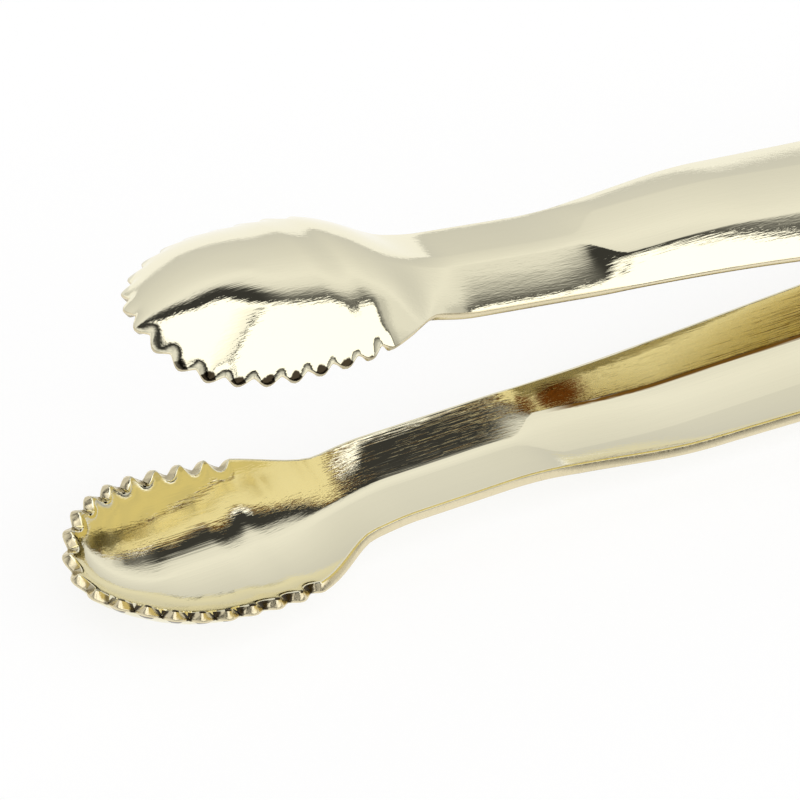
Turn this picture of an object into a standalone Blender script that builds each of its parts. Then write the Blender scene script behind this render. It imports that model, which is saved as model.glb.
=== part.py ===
"""Hinged sugar tongs: two stamped sheet-metal arms with scalloped bowls, a rivet and a torsion spring.

World frame: metres, +Z up. The flat back of the lower arm stands on z = 0, +X runs from the bowls
to the hinge, and +Y is across the arms. The upper arm lies over the lower one, held open by the
spring. An arm's own frame has x from its tip, y across and z from its outer back towards the other arm.
"""

import math

import bmesh
import bpy
import numpy as np
from mathutils import Matrix, Vector

MM = 0.001

# Sheet and fits
SHEET = 0.8 * MM
CLEARANCE = 0.3 * MM

# Bowl
BOWL_NOSE = 9.1 * MM
BOWL_HALF_WIDTH = 7.0 * MM
BOWL_LENGTH = 21.0 * MM
BOWL_BACK_Z = 0.41 * MM
BOWL_RIM_Z = 4.9 * MM
BOWL_RIM_SLOPE = 0.13
NOSE_DROOP = 0.9 * MM
NOSE_DROOP_LENGTH = 3.0 * MM
POLE_SHARE = 0.15
SHOULDER_FULLNESS = 2.15

# Shoulder, where the bowl's back rises to the neck and its round section turns into a gutter
SHOULDER_START = 11.8 * MM
SHOULDER_END = 14.6 * MM
SHOULDER_BACK_Z = 0.65 * MM
WEB_START = 14.4 * MM
WEB_END = 24.3 * MM
GUTTER_START = 17.0 * MM
GUTTER_END = 21.5 * MM

# Scallops round the bowl's rim
SCALLOPS_PER_SIDE = 10
SCALLOP_PITCH = 1.92 * MM
SCALLOP_DEPTH = 0.75 * MM
SCALLOP_PRESS = 0.2 * MM
SCALLOP_REACH = 1.7 * MM

# Neck and handle are shallow gutters: a floor, a crease at its edge and a wall
NECK_HALF_WIDTH = 4.0 * MM
NECK_RIM_Z = 3.7 * MM
NECK_DEPTH = 0.93 * MM
NECK_FLOOR = 0.4 * MM
NECK_END = 31.5 * MM
STEP_START = 32.0 * MM
STEP_END = 48.0 * MM
HANDLE_STEP_WIDTH = 0.95 * MM
HANDLE_TAPER_WIDTH = 1.15 * MM
HANDLE_TAPER_START = 38.0 * MM
HANDLE_TAPER_END = 75.0 * MM
HANDLE_RIM_Z = 2.5 * MM
HANDLE_DEPTH = 1.25 * MM
HANDLE_FLOOR = 2.1 * MM
FLOOR_STEP_START = 34.5 * MM
FLOOR_STEP_LENGTH = 3.0 * MM
HANDLE_END = 98.0 * MM
FLOOR_LEAN = math.radians(6.0)
CREASE_LEAN = math.radians(13.0)
RIM_LEAN = math.radians(21.0)
CREASE_RADIUS = 1.0 * MM

# Ears and pivot
DESCENT_START = 62.0 * MM
EAR_START = 112.0 * MM
EAR_HALF_WIDTH = 5.0 * MM
EAR_CORNER = 1.2 * MM
EAR_RADIUS = 3.2 * MM
FLANK_START = 106.0 * MM
PIVOT_X = 122.0 * MM
PIVOT_Z = 4.4 * MM
TIP_GAP = 22.0 * MM

# Rivet
RIVET_RADIUS = 1.25 * MM
RIVET_HEAD_RADIUS = 2.5 * MM
RIVET_HEAD_HEIGHT = 1.0 * MM
RIVET_SEGMENTS = 28

# Torsion spring
WIRE_RADIUS = 0.4 * MM
COIL_TURNS = 3.5
COIL_PITCH = 1.3 * MM
COIL_POINTS = 10
LEG_REACH = 6.2 * MM
LEG_SHARES = (0.0, 0.5, 0.85)

# Where world x = 0 lies along the lower arm: on the flat underside of the hinge end
REST_X = 118.0 * MM

# Mesh density along and across an arm
POINTS_PER_SCALLOP = 6
OUTLINE_POINTS = 200
STRETCHES = (
    (BOWL_LENGTH, 7),
    (WEB_END, 4),
    (NECK_END, 3),
    (FLOOR_STEP_START, 2),
    (FLOOR_STEP_START + FLOOR_STEP_LENGTH, 3),
    (STEP_END, 6),
    (HANDLE_TAPER_END, 5),
    (HANDLE_END, 4),
    (FLANK_START, 5),
)
EAR_POINTS = 8
HEEL_POINTS = 3
ROWS = (0.0, 0.24, 0.47, 0.68, 0.84, 0.94, 1.0)
SUBSTEPS = 8

# The arms are mirror images about a plane through the pivot that clears both tips by half the gap.
HALF_OPENING = math.atan2(BOWL_RIM_Z - NOSE_DROOP + TIP_GAP / 2 - PIVOT_Z, PIVOT_X)
EAR_TOP = PIVOT_Z + EAR_RADIUS
HEEL_X = PIVOT_X + EAR_RADIUS

GOLD = (0.83, 0.76, 0.55, 1.0)
STEEL = (0.62, 0.62, 0.60, 1.0)


def clear_scene():
    for existing in list(bpy.data.objects):
        bpy.data.objects.remove(existing, do_unlink=True)
    for existing in list(bpy.data.collections):
        bpy.data.collections.remove(existing)


def new_collection(name):
    collection = bpy.data.collections.new(name)
    bpy.context.scene.collection.children.link(collection)
    return collection


def metal(name, color, roughness):
    material = bpy.data.materials.new(name)
    material.use_nodes = True
    shader = material.node_tree.nodes["Principled BSDF"]
    shader.inputs["Base Color"].default_value = color
    shader.inputs["Metallic"].default_value = 1.0
    shader.inputs["Roughness"].default_value = roughness
    return material


def ease(x, start, end):
    """Smooth step from 0 at start to 1 at end."""
    share = min(max((x - start) / (end - start), 0.0), 1.0)
    return share * share * (3.0 - 2.0 * share)


def mix(first, second, share):
    return first + (second - first) * share


def half_width(x, ear_half_width):
    """Half the arm's width at mid sheet, from the bowl's widest place to the heel."""
    if x < BOWL_LENGTH:
        share = (x - BOWL_NOSE) / (BOWL_LENGTH - BOWL_NOSE)
        return mix(BOWL_HALF_WIDTH, NECK_HALF_WIDTH, ease(share**SHOULDER_FULLNESS, 0.0, 1.0))
    width = NECK_HALF_WIDTH + HANDLE_STEP_WIDTH * ease(x, NECK_END, STEP_END)
    width += HANDLE_TAPER_WIDTH * ease(x, HANDLE_TAPER_START, HANDLE_TAPER_END)
    return mix(width, ear_half_width, ease(x, HANDLE_END, EAR_START))


def back_height(x):
    """Height of the mid sheet along the arm's middle line."""
    back = mix(BOWL_BACK_Z, SHOULDER_BACK_Z, ease(x, SHOULDER_START, SHOULDER_END))
    back = mix(back, NECK_RIM_Z - NECK_DEPTH, ease(x, WEB_START, WEB_END))
    back = mix(back, HANDLE_RIM_Z - HANDLE_DEPTH, ease(x, NECK_END, STEP_END))
    return mix(back, SHEET / 2, ease(x, DESCENT_START, EAR_START))


def flank_top(x):
    """Edge height from the handle to the ear: a line tangent to the ear's round, the round, the heel."""
    reach = PIVOT_X - FLANK_START
    rise = PIVOT_Z - HANDLE_RIM_Z
    slope = math.atan2(rise, reach) + math.asin(EAR_RADIUS / math.hypot(rise, reach))
    touch = PIVOT_X - EAR_RADIUS * math.sin(slope)
    if x < touch:
        return HANDLE_RIM_Z + (x - FLANK_START) * math.tan(slope)
    if x < PIVOT_X:
        return PIVOT_Z + math.sqrt(EAR_RADIUS**2 - (x - PIVOT_X) ** 2)
    return mix(EAR_TOP, PIVOT_Z + heel_height(), (x - PIVOT_X) / EAR_RADIUS)


def heel_height():
    """Height of the heel's corner over the pivot, which stops the opening on the other arm's floor."""
    floor_drop = PIVOT_Z - SHEET - CLEARANCE
    opening = 2 * HALF_OPENING
    return (floor_drop - EAR_RADIUS * math.sin(opening)) / math.cos(opening)


def rim_height(x):
    """Height of the mid sheet at the arm's long edge."""
    if x > FLANK_START:
        return flank_top(x)
    droop = NOSE_DROOP * (1 - min(x / NOSE_DROOP_LENGTH, 1.0)) ** 2
    bowl = BOWL_RIM_Z - BOWL_RIM_SLOPE * x - droop
    rim = mix(bowl, NECK_RIM_Z, ease(x, WEB_START, WEB_END))
    return mix(rim, HANDLE_RIM_Z, ease(x, STEP_START, STEP_END))


def rim_outline(ear_half_width):
    """Half the arm's outline in plan as fine points: a quarter ellipse at the nose, then the width."""
    turns = np.linspace(0.0, math.pi / 2, OUTLINE_POINTS)
    nose = [(BOWL_NOSE * (1 - math.cos(t)), BOWL_HALF_WIDTH * math.sin(t)) for t in turns]
    places = np.linspace(BOWL_NOSE, BOWL_LENGTH, OUTLINE_POINTS)[1:]
    side = [(x, half_width(x, ear_half_width)) for x in places]
    return np.array(nose + side)


def stations(ear_half_width):
    """(x, y, run) of the rim points: evenly spaced round the scallops, then by stretches of the arm."""
    outline = rim_outline(ear_half_width)
    steps = np.hypot(*np.diff(outline, axis=0).T)
    run = np.concatenate([[0.0], np.cumsum(steps)])
    count = SCALLOPS_PER_SIDE * POINTS_PER_SCALLOP
    scalloped = np.linspace(0.0, SCALLOPS_PER_SIDE * SCALLOP_PITCH, count + 1)
    points = [(np.interp(s, run, outline[:, 0]), np.interp(s, run, outline[:, 1]), s) for s in scalloped]
    places = []
    start = points[-1][0]
    for end, count in sorted(STRETCHES):
        places += list(np.linspace(start, end, count + 1)[1:])
        start = end
    turns = np.linspace(0.0, math.pi / 2, EAR_POINTS + 1)[1:]
    places += [FLANK_START + (PIVOT_X - FLANK_START) * math.sin(turn) for turn in turns]
    places += list(np.linspace(PIVOT_X, HEEL_X, HEEL_POINTS + 1)[1:])
    return points + [(x, half_width(x, ear_half_width), None) for x in places]


def arc_shape(share, lean):
    """Place on one arc from the middle line to the rim, both ways as shares of width and depth."""
    turn = share * lean
    return math.sin(turn) / math.sin(lean), (1 - math.cos(turn)) / (1 - math.cos(lean))


def gutter_shape(floor, reach):
    """Rows of a gently curved floor, a crease and a wall, as shares of width and depth."""
    leans = (0.0, FLOOR_LEAN / 2, FLOOR_LEAN, CREASE_LEAN)
    leans += tuple(mix(CREASE_LEAN, RIM_LEAN, k / 3) for k in (1, 2, 3))
    floor_radius = floor / math.sin(FLOOR_LEAN)
    crease = CREASE_RADIUS * (math.sin(CREASE_LEAN) - math.sin(FLOOR_LEAN))
    wall_radius = (reach - floor - crease) / (math.sin(RIM_LEAN) - math.sin(CREASE_LEAN))
    radii = (floor_radius, floor_radius, CREASE_RADIUS, wall_radius, wall_radius, wall_radius)
    rows = [(0.0, 0.0)]
    for radius, first, second in zip(radii, leans, leans[1:]):
        out, up = rows[-1]
        out += radius * (math.sin(second) - math.sin(first))
        rows.append((out, up + radius * (math.cos(first) - math.cos(second))))
    width, depth = rows[-1]
    return [(out / width, up / depth) for out, up in rows]


def channel_shape(reach, depth):
    """Rows of a flat floor, a quarter round and an upright wall, as shares of width and depth."""
    corner = min(EAR_CORNER, depth)
    flat = reach - corner
    rows = [(0.0, 0.0), (flat / reach, 0.0)]
    for turn in (math.pi / 6, math.pi / 3, math.pi / 2):
        rows.append(((flat + corner * math.sin(turn)) / reach, corner * (1 - math.cos(turn)) / depth))
    rows.append((1.0, mix(corner / depth, 1.0, 0.5)))
    rows.append((1.0, 1.0))
    return rows


def section(x, y, run, ear_half_width):
    """Points of the half section whose rim point is (x, y), from the middle line to the rim."""
    pole_x = max(x, BOWL_NOSE - POLE_SHARE * (BOWL_NOSE - x))
    pole = Vector((pole_x, 0.0, back_height(pole_x)))
    across = Vector((x - pole_x, y, 0.0))
    reach = across.length
    direction = across.normalized()
    depth = rim_height(x) - pole.z
    lean = 2 * math.atan2(depth, reach)
    arc_length = reach * lean / math.sin(lean)
    to_handle = ease(x, FLOOR_STEP_START, FLOOR_STEP_START + FLOOR_STEP_LENGTH)
    floor = mix(NECK_FLOOR, HANDLE_FLOOR, to_handle)
    gutter = gutter_shape(floor, reach)
    channel = channel_shape(reach, depth)
    to_gutter = ease(x, GUTTER_START, GUTTER_END)
    to_channel = ease(x, HANDLE_END, EAR_START)
    scallop = 0.0 if run is None else math.sin(math.pi * run / SCALLOP_PITCH) ** 2
    points = []
    for share, groove, trough in zip(ROWS, gutter, channel):
        pull = max(0.0, 1 - arc_length * (1 - share) / SCALLOP_REACH) ** 2 * scallop
        pulled = share - SCALLOP_DEPTH * pull / arc_length
        row = Vector(arc_shape(pulled, lean)).lerp(Vector(groove), to_gutter)
        row = row.lerp(Vector(trough), to_channel)
        place = pole + direction * (reach * row.x - math.sin(pulled * lean) * SCALLOP_PRESS * pull)
        place.z += depth * row.y + math.cos(pulled * lean) * SCALLOP_PRESS * pull
        points.append(place)
    return points


def arm_sheet(name, ear_half_width):
    """Half of an arm's mid surface, open at y = 0, as a loft of sections with its origin on the pivot."""
    pivot = Vector((PIVOT_X, 0.0, PIVOT_Z))
    mesh = bpy.data.meshes.new(name)
    sheet = bmesh.new()
    loft = []
    for x, y, run in stations(ear_half_width):
        loft.append([sheet.verts.new(point - pivot) for point in section(x, y, run, ear_half_width)])
    for near, far in zip(loft, loft[1:]):
        for k in range(len(near) - 1):
            sheet.faces.new((near[k], near[k + 1], far[k + 1], far[k]))
    for face in sheet.faces:
        face.smooth = True
    sheet.to_mesh(mesh)
    sheet.free()
    return mesh


def make_arm(name, ear_half_width, collection, cutter, material):
    """A stamped arm: half sheet, mirrored, given its thickness and bored for the rivet."""
    arm = bpy.data.objects.new(name, arm_sheet(name, ear_half_width))
    collection.objects.link(arm)
    arm.data.materials.append(material)
    mirror = arm.modifiers.new("other_half", "MIRROR")
    mirror.use_axis = (False, True, False)
    mirror.use_clip = True
    mirror.merge_threshold = 0.00001
    thickness = arm.modifiers.new("sheet", "SOLIDIFY")
    thickness.thickness = SHEET
    thickness.offset = 0.0
    thickness.use_even_offset = True
    bore = arm.modifiers.new("rivet_bore", "BOOLEAN")
    bore.operation = "DIFFERENCE"
    bore.solver = "EXACT"
    bore.object = cutter
    return arm


def make_bore_cutter(name, collection, parent):
    """Cylinder across both ears, a clearance larger than the rivet's shank."""
    bpy.ops.mesh.primitive_cylinder_add(
        vertices=RIVET_SEGMENTS,
        radius=RIVET_RADIUS + CLEARANCE,
        depth=4 * EAR_HALF_WIDTH,
        rotation=(math.pi / 2, 0.0, 0.0),
    )
    cutter = bpy.context.object
    cutter.name = name
    for owner in list(cutter.users_collection):
        owner.objects.unlink(cutter)
    collection.objects.link(cutter)
    cutter.parent = parent
    cutter.hide_render = True
    cutter.display_type = "WIRE"
    return cutter


def make_rivet(collection, parent, material):
    """Shank with two domed heads, turned about its own axis and laid across the ears."""
    seat = EAR_HALF_WIDTH + SHEET / 2 + CLEARANCE
    end = seat + RIVET_HEAD_HEIGHT
    dome_points = 5
    dome = []
    for k in range(dome_points + 1):
        turn = math.pi / 2 * k / dome_points
        dome.append((RIVET_HEAD_RADIUS * math.sin(turn), seat + RIVET_HEAD_HEIGHT * math.cos(turn)))
    dome[0] = (0.0, end)
    half = dome + [(RIVET_RADIUS, seat)]
    outline = half + [(radius, -height) for radius, height in reversed(half)]
    mesh = bpy.data.meshes.new("pivot_rivet")
    edges = [(k, k + 1) for k in range(len(outline) - 1)]
    mesh.from_pydata([(radius, 0.0, height) for radius, height in outline], edges, [])
    rivet = bpy.data.objects.new("pivot_rivet", mesh)
    collection.objects.link(rivet)
    rivet.data.materials.append(material)
    rivet.rotation_euler = (math.pi / 2, 0.0, 0.0)
    rivet.parent = parent
    turned = rivet.modifiers.new("turned", "SCREW")
    turned.axis = "Z"
    turned.steps = RIVET_SEGMENTS
    turned.render_steps = RIVET_SEGMENTS
    turned.use_merge_vertices = True
    turned.merge_threshold = 0.00001
    return rivet


def spring_route():
    """Centre line of the spring about the pivot: lower leg, coil from its bottom, upper leg.

    The coil turns from the lower leg's tangent point to the upper leg's, and both legs end a
    clearance from the floor that they press on. The upper floor is the lower one turned to the
    opening, so the upper leg is the lower one mirrored about the plane between the arms.
    """
    coil_radius = RIVET_RADIUS + CLEARANCE + WIRE_RADIUS
    floor_drop = PIVOT_Z - SHEET - CLEARANCE - WIRE_RADIUS
    foot = Vector((-LEG_REACH, 0.0, -floor_drop))
    foot_angle = math.atan2(foot.z, foot.x)
    touch_angle = foot_angle + math.acos(coil_radius / foot.length)
    touch = Vector((math.cos(touch_angle), 0.0, math.sin(touch_angle))) * coil_radius
    mirror_tilt = 2 * (math.pi - HALF_OPENING)
    last_angle = mirror_tilt - touch_angle
    while last_angle < touch_angle:
        last_angle += 2 * math.pi
    sweep = last_angle - touch_angle + 2 * math.pi * math.floor(COIL_TURNS)
    length = COIL_PITCH * sweep / (2 * math.pi)
    count = round(COIL_POINTS * sweep / (2 * math.pi))
    coil = []
    for k in range(count + 1):
        angle = touch_angle + sweep * k / count
        across = length * (k / count - 0.5)
        coil.append(Vector((coil_radius * math.cos(angle), across, coil_radius * math.sin(angle))))
    lower_leg = [Vector((mix(foot.x, touch.x, s), -length / 2, mix(foot.z, touch.z, s))) for s in LEG_SHARES]
    tilt = Matrix.Rotation(2 * HALF_OPENING, 3, "Y")
    upper_leg = []
    for point in reversed(lower_leg):
        flipped = tilt @ Vector((point.x, 0.0, -point.z))
        upper_leg.append(Vector((flipped.x, length / 2, flipped.z)))
    return lower_leg + coil + upper_leg


def least_gap(route, skip):
    """Least clear distance between stretches of the wire more than skip points apart, on fine points."""
    fine = []
    for start, end in zip(route, route[1:]):
        fine += [start.lerp(end, k / SUBSTEPS) for k in range(SUBSTEPS)]
    fine.append(route[-1])
    places = np.array(fine)
    gap = math.inf
    for k in range(len(places) - SUBSTEPS * skip):
        others = places[k + SUBSTEPS * skip :]
        gap = min(gap, float(np.min(np.linalg.norm(others - places[k], axis=1))))
    return gap - 2 * WIRE_RADIUS


def make_spring(collection, parent, material):
    """Torsion spring as one wire with round section."""
    route = spring_route()
    curve = bpy.data.curves.new("torsion_spring", "CURVE")
    curve.dimensions = "3D"
    curve.bevel_depth = WIRE_RADIUS
    curve.bevel_resolution = 1
    curve.use_fill_caps = True
    wire = curve.splines.new("POLY")
    wire.points.add(len(route) - 1)
    for spot, place in zip(wire.points, route):
        spot.co = (*place, 1.0)
    spring = bpy.data.objects.new("torsion_spring", curve)
    collection.objects.link(spring)
    spring.data.materials.append(material)
    spring.parent = parent
    print("torsion_spring least gap to itself, mm:", round(least_gap(route, COIL_POINTS // 2) / MM, 3))
    return spring


def pivot_empty(name, collection, location, rotation):
    empty = bpy.data.objects.new(name, None)
    empty.empty_display_size = 2 * EAR_RADIUS
    collection.objects.link(empty)
    empty.location = location
    empty.rotation_euler = rotation
    return empty


def build():
    clear_scene()
    tongs = new_collection("sugar_tongs")
    cutters = new_collection("cutters")
    gold = metal("gold_plate", GOLD, 0.08)
    rivet_gold = metal("rivet_plate", GOLD, 0.12)
    steel = metal("spring_steel", STEEL, 0.3)
    pivot = (PIVOT_X - REST_X, 0.0, PIVOT_Z)
    lower = pivot_empty("pivot_axis", tongs, pivot, (0.0, 0.0, 0.0))
    cutter = make_bore_cutter("rivet_bore_cutter", cutters, lower)
    inner_half_width = EAR_HALF_WIDTH - SHEET - CLEARANCE
    lower_arm = make_arm("lower_arm", EAR_HALF_WIDTH, tongs, cutter, gold)
    lower_arm.parent = lower
    upper_arm = make_arm("upper_arm", inner_half_width, tongs, cutter, gold)
    upper_arm.location = pivot
    flip = Matrix.Rotation(2 * HALF_OPENING, 4, "Y") @ Matrix.Rotation(math.pi, 4, "X")
    upper_arm.rotation_euler = flip.to_euler()
    make_rivet(tongs, lower, rivet_gold)
    make_spring(tongs, lower, steel)


build()
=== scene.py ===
"""Looks of the hinged sugar tongs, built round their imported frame.

World frame: metres, +Z up, +X from the bowls to the hinge. The arms are lofted finely from the same
formulas as the solids that they replace: a sheet with scalloped bowl, shoulder, gutter-shaped neck,
wider handle and ears. An arm's own frame has x from its tip, y across and z towards the other arm.
"""

import math

import bmesh
import bpy
import numpy as np
from mathutils import Matrix, Vector


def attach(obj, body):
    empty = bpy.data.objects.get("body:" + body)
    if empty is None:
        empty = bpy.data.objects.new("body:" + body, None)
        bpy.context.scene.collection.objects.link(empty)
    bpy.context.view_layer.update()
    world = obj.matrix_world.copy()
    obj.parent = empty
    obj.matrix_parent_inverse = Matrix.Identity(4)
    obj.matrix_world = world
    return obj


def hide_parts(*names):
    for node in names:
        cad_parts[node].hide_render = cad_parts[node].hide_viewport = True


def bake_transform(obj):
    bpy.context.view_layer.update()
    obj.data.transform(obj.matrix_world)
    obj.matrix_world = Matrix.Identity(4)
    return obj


MM = 0.001

# Sheet and fits
SHEET = 0.8 * MM
CLEARANCE = 0.3 * MM
EDGE_ROUND = 0.16 * MM

# Bowl
BOWL_NOSE = 9.1 * MM
BOWL_HALF_WIDTH = 7.0 * MM
BOWL_LENGTH = 21.0 * MM
BOWL_BACK_Z = 0.41 * MM
BOWL_RIM_Z = 4.9 * MM
BOWL_RIM_SLOPE = 0.13
NOSE_DROOP = 0.9 * MM
NOSE_DROOP_LENGTH = 3.0 * MM
POLE_SHARE = 0.15
SHOULDER_FULLNESS = 2.15

# Shoulder, where the bowl's back rises to the neck and its round section turns into a gutter
SHOULDER_START = 11.8 * MM
SHOULDER_END = 14.6 * MM
SHOULDER_BACK_Z = 0.65 * MM
WEB_START = 14.4 * MM
WEB_END = 24.3 * MM
GUTTER_START = 17.0 * MM
GUTTER_END = 21.5 * MM

# Scallops round the bowl's rim
SCALLOPS_PER_SIDE = 10
SCALLOP_PITCH = 1.92 * MM
SCALLOP_DEPTH = 0.75 * MM
SCALLOP_PRESS = 0.2 * MM
SCALLOP_REACH = 1.7 * MM

# Neck and handle are shallow gutters: a floor, a crease at its edge and a wall
NECK_HALF_WIDTH = 4.0 * MM
NECK_RIM_Z = 3.7 * MM
NECK_DEPTH = 0.93 * MM
NECK_FLOOR = 0.4 * MM
NECK_END = 31.5 * MM
STEP_START = 32.0 * MM
STEP_END = 48.0 * MM
HANDLE_STEP_WIDTH = 0.95 * MM
HANDLE_TAPER_WIDTH = 1.15 * MM
HANDLE_TAPER_START = 38.0 * MM
HANDLE_TAPER_END = 75.0 * MM
HANDLE_RIM_Z = 2.5 * MM
HANDLE_DEPTH = 1.25 * MM
HANDLE_FLOOR = 2.1 * MM
FLOOR_STEP_START = 34.5 * MM
FLOOR_STEP_LENGTH = 3.0 * MM
HANDLE_END = 98.0 * MM
FLOOR_LEAN = math.radians(6.0)
CREASE_LEAN = math.radians(13.0)
RIM_LEAN = math.radians(21.0)
CREASE_RADIUS = 1.0 * MM

# Ears and pivot
DESCENT_START = 62.0 * MM
EAR_START = 112.0 * MM
EAR_HALF_WIDTH = 5.0 * MM
EAR_CORNER = 1.2 * MM
EAR_RADIUS = 3.2 * MM
FLANK_START = 106.0 * MM
PIVOT_X = 122.0 * MM
PIVOT_Z = 4.4 * MM
TIP_GAP = 22.0 * MM
REST_X = 118.0 * MM
INNER_EAR_HALF_WIDTH = EAR_HALF_WIDTH - SHEET - CLEARANCE

HALF_OPENING = math.atan2(BOWL_RIM_Z - NOSE_DROOP + TIP_GAP / 2 - PIVOT_Z, PIVOT_X)
UPPER_TILT = 2 * HALF_OPENING
EAR_TOP = PIVOT_Z + EAR_RADIUS
HEEL_X = PIVOT_X + EAR_RADIUS
PIVOT = Vector((PIVOT_X - REST_X, 0.0, PIVOT_Z))

# Rivet
RIVET_RADIUS = 1.25 * MM
RIVET_HEAD_RADIUS = 2.5 * MM
RIVET_HEAD_HEIGHT = 1.0 * MM
RIVET_EDGE = 0.18 * MM
RIVET_DOME_STEPS = 14
RIVET_DOME_POWER = 0.9
RIVET_SEGMENTS = 72
BORE_REACH = 4 * EAR_HALF_WIDTH

# Torsion spring
WIRE_RADIUS = 0.4 * MM
WIRE_RESOLUTION = 4
COIL_TURNS = 3.5
COIL_PITCH = 1.3 * MM
COIL_POINTS = 60
LEG_REACH = 6.2 * MM
LEG_END_SHARE = 0.92
LEG_POINTS = 6

# Mesh density
POINTS_PER_SCALLOP = 12
OUTLINE_POINTS = 600
STATION_STEP = 0.7 * MM
EAR_STEPS = 22
HEEL_STEPS = 5
FLOOR_ROWS = 8
CREASE_ROWS = 4
WALL_ROWS = 20
ROUND_STEPS = 3
SHARP_ANGLE = math.radians(40.0)
TINY = 1e-6

# The wall turns a little steeper in its last strip, up to the cut edge
RIM_ROLL = 0.035 * MM
RIM_ROLL_WIDTH = 0.7 * MM
LOWER_ROLL_START = 38.0 * MM
UPPER_ROLL_START = 17.0 * MM
ROLL_EASE = 4.5 * MM

# Materials of an arm's faces, by slot. The inner corner takes in the last rows of the hollow.
OUTSIDE, CUT_EDGE, INNER_CORNER, INSIDE = range(4)
CORNER_ROWS = 4

# Camera
CAMERA_AZIMUTH = math.radians(-38.71)
CAMERA_ELEVATION = math.radians(43.77)
CAMERA_ROLL = math.radians(11.06)
CAMERA_DISTANCE = 392.71 * MM
CAMERA_TARGET = Vector((-97.23, -4.05, 16.16)) * MM
CAMERA_SENSOR = 36.0
CAMERA_LENS = 5988.7 / 800 * CAMERA_SENSOR

# The light is a function of direction: of its angle across the arms, in degrees from straight up, and
# of its x. A name that ends in SOFT is the width of a soft border.
#
# Bright soft box. Its upper edge dips and rises along x, and its left border leans in at the bottom.
BOX_TOP = 8.0
BOX_TOP_SOFT = (-0.8, 0.4)
BOX_DIP = 4.0
BOX_DIP_X = (0.2, 0.42)
BOX_RISE = 2.0
BOX_RISE_X = (0.5, 0.66)
BOX_SLOPE = 38.0
BOX_SLOPE_X = -0.1
BOX_START = -0.56
BOX_START_SOFT = 0.06
BOX_SLANT = 0.006
BOX_SLANT_TOP = -25.0
BOX_END = 0.785
BOX_END_SOFT = 0.005
BOX_BOTTOM = -62.0
BOX_BOTTOM_SOFT = 5.0
BOX_LEVEL = 1.45

# Dark slanted seam in the box, and a paler panel on its left side
SEAM_X = 0.487
SEAM_SLOPE = 0.0166
SEAM_TOP = (-2.0, 1.5)
SEAM_WIDTH = 0.036
PANEL_START_SOFT = 0.004
PANEL_END = (0.085, 0.255)
PANEL_LEVEL = 1.12

# Dark gap over the box's upper edge. It ends a little outside the box's other borders.
GAP_WIDTH = 11.0
GAP_NARROWING = 8.0
GAP_FADE = 9.0
GAP_FADE_GAIN = 6.0
GAP_DEPTH = 0.95
GAP_DEPTH_LOSS = 0.1
GAP_START = (-0.3, -0.1)
GAP_END_SOFT = 0.065
GAP_BOTTOM = (BOX_BOTTOM - 24.0, BOX_BOTTOM - 6.0)

# Grey strip past the box's right end
SIDE_SHADE = 0.28
SIDE_TOP = 23.0
SIDE_TOP_SOFT = 6.0
SIDE_END = 0.91
SIDE_END_SOFT = 0.05

# Pale tent everywhere else: its level by angle
TENT_RANGE = 90.0
TENT_LEVELS = (
    (-90.0, 0.6),
    (-66.0, 0.86),
    (-45.0, 0.6),
    (-12.0, 0.86),
    (26.0, 0.85),
    (34.0, 0.93),
    (46.0, 0.85),
    (60.0, 0.78),
    (90.0, 0.66),
)

# Floor, which is white to the rays that show the background
FLOOR_SIZE = 3.0
FLOOR_TONE = 0.88
FLOOR_WHITE = 1.07
FLOOR_WHITE_SHARE = 0.75

# Gold reflector in the upper arm's own frame, which fades out over the last shares of its sides
CARD_X = (10.0 * MM, 118.0 * MM)
CARD_Y = (3.7 * MM, 32.0 * MM)
CARD_Z = 4.5 * MM
CARD_FADE_X = 0.7
CARD_FADE_Y = 0.5

# Pairs of tones that each metal drifts between
PALE_GOLD = ((0.905, 0.855, 0.645), (0.885, 0.835, 0.62))
DEEP_GOLD = ((0.94, 0.85, 0.52), (0.92, 0.82, 0.48))
# Dark brown painted shade for the upper arm's inner corner rows
CORNER_SHADE = ((0.2, 0.11, 0.03), (0.14, 0.07, 0.02))
EDGE_GOLD = ((0.82, 0.73, 0.51), (0.74, 0.65, 0.43))
STEEL = ((0.62, 0.62, 0.6), (0.46, 0.45, 0.43))
CARD_GOLD = ((0.74, 0.62, 0.26), (0.66, 0.56, 0.25))

# Noises: scale per metre, detail and roughness, with their stretch along x, y and z
CLOUDS = (60.0, 3.0)
FILM = (700.0, 3.0)
CARD_CLOUDS = (200.0, 2.0)
LIP_SHADE_NOISE = (1500.0, 2.0)
LINES = (7500.0, 2.0, 0.6)
LINES_STRETCH = (0.022, 1.0, 1.0)
BANDS = (1100.0, 1.0)
BANDS_STRETCH = (0.02, 1.0, 1.0)
GRAIN = (5200.0, 3.0, 0.6)
GRAIN_STRETCH = (1.0, 1.0, 0.35)
DIE_LINES = (9000.0, 3.0, 0.6)
DIE_LINES_STRETCH = (0.3, 1.0, 0.3)

# Noise values that stand for none and all
CLOUD_SPAN = (0.35, 0.65)
FILM_SPAN = (0.4, 0.7)
LINE_SPAN = (0.3, 0.7)

# Roughness of each finish, and the height of its lines
ARM_ROUGHNESS = (0.018, 0.042)
RIVET_ROUGHNESS = (0.048, 0.112)
SATIN_ROUGHNESS = (0.22, 0.32)
EDGE_ROUGHNESS = (0.14, 0.3)
STEEL_ROUGHNESS = (0.22, 0.42)
ARM_LINE_HEIGHT = 0.0055 * MM
RIVET_LINE_HEIGHT = 0.001 * MM
SATIN_LINE_HEIGHT = 0.003 * MM
GRAIN_HEIGHT = 0.004 * MM
DIE_LINE_HEIGHT = 0.002 * MM
BAND_HEIGHT_GAIN = 1.5
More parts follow.
